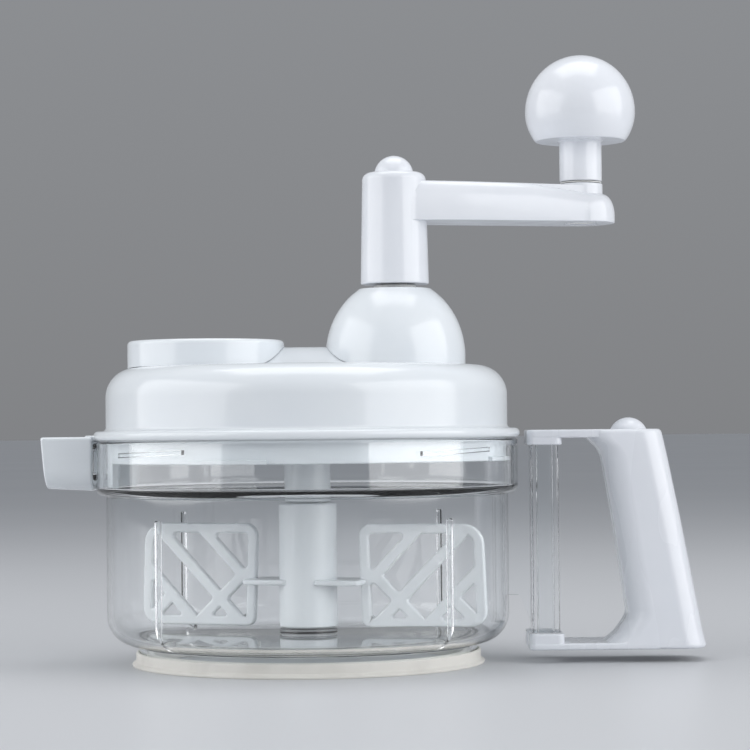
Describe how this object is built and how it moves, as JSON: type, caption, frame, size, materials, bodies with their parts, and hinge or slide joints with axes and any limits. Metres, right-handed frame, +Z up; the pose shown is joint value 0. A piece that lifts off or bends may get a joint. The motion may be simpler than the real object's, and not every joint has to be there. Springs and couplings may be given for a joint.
{
  "type": "hand crank food chopper",
  "caption": "Hand-crank food chopper: clear bowl with side handle and pouring spout, domed lid with feed chute, geared crank with ball knob, and a lattice mixing paddle.",
  "frame": {"origin": "middle of the footprint's bounding box, on the surface that the base ring stands on", "axes": "+X from the pouring spout towards the handle, +Y away from the user who looks at the crank's near side, +Z up along the bowl's axis"},
  "size_m": [0.2502, 0.1616, 0.2326],
  "materials": {
    "clear_plastic": "clear, polished",
    "white_plastic": "gloss, slightly cool white",
    "ring_rubber": "matt, warm off-white",
    "gear_nylon": "satin, natural nylon",
    "acetal": "satin, slippery white",
    "steel": "bright, stainless"
  },
  "bodies": {
    "bowl": {"bowl": "clear_plastic", "base_ring": "ring_rubber"},
    "handle": {"handle": "white_plastic", "handle_button_spring": "steel"},
    "handle_button": {"handle_release_button": "white_plastic"},
    "lid": {"lid_shell": "white_plastic", "pour_spout": "white_plastic", "drive_dome": "white_plastic", "drive_dome_screw_1": "steel", "drive_dome_screw_2": "steel", "drive_dome_screw_3": "steel", "shaft_bush": "acetal", "gear_cover": "white_plastic", "gear_cover_screw_1": "steel", "gear_cover_screw_2": "steel", "gear_cover_screw_3": "steel", "gear_cover_screw_4": "steel", "spindle_bush": "acetal"},
    "chute_cap": {"chute_cap": "white_plastic"},
    "drive": {"drive_shaft": "acetal", "drive_gear": "gear_nylon", "drive_gear_screw": "steel"},
    "spindle": {"output_spindle": "white_plastic", "pinion_gear": "gear_nylon", "pinion_screw": "steel"},
    "paddle": {"mixing_paddle": "white_plastic"},
    "crank": {"crank_arm": "white_plastic", "crank_button_spring": "steel", "knob_pin": "acetal", "knob_washer": "acetal"},
    "crank_button": {"crank_release_button": "white_plastic"},
    "knob": {"knob": "white_plastic"}
  },
  "joints": [
    {"name": "lid_lift", "type": "slide", "parent": "bowl", "child": "lid", "axis": [0, 0, 1], "range_m": [0, 0.08]},
    {"name": "cap_lift", "type": "slide", "parent": "lid", "child": "chute_cap", "axis": [0, 0, 1], "range_m": [0, 0.03]},
    {"name": "crank_spin", "type": "hinge", "parent": "lid", "child": "drive", "pos_m": [0.00885, 0, 0.15], "axis": [0, 0, 1], "continuous": true},
    {"name": "spindle_spin", "type": "hinge", "parent": "lid", "child": "spindle", "pos_m": [-0.02515, 0, 0.1], "axis": [0, 0, 1], "continuous": true},
    {"name": "paddle_spin", "type": "hinge", "parent": "bowl", "child": "paddle", "pos_m": [-0.02515, 0, 0.03], "axis": [0, 0, 1], "continuous": true},
    {"name": "crank_lift", "type": "slide", "parent": "drive", "child": "crank", "axis": [0, 0, 1], "range_m": [0, 0.02]},
    {"name": "crank_button_press", "type": "slide", "parent": "crank", "child": "crank_button", "axis": [0, 0, -1], "range_m": [0, 0.003], "stiffness_N_per_m": 600, "deforming": ["crank_button_spring"]},
    {"name": "knob_spin", "type": "hinge", "parent": "crank", "child": "knob", "pos_m": [0.0815, 0.0165, 0.21], "axis": [0, 0, 1], "continuous": true},
    {"name": "handle_slide", "type": "slide", "parent": "bowl", "child": "handle", "axis": [0, 0, 1], "range_m": [0, 0.07]},
    {"name": "handle_button_press", "type": "slide", "parent": "handle", "child": "handle_button", "axis": [0, 0, -1], "range_m": [0, 0.003], "stiffness_N_per_m": 600, "deforming": ["handle_button_spring"]}
  ],
  "couplings": [
    {"joint": "spindle_spin", "follows": "crank_spin", "ratio": -2.4},
    {"joint": "paddle_spin", "follows": "crank_spin", "ratio": -2.4}
  ]
}
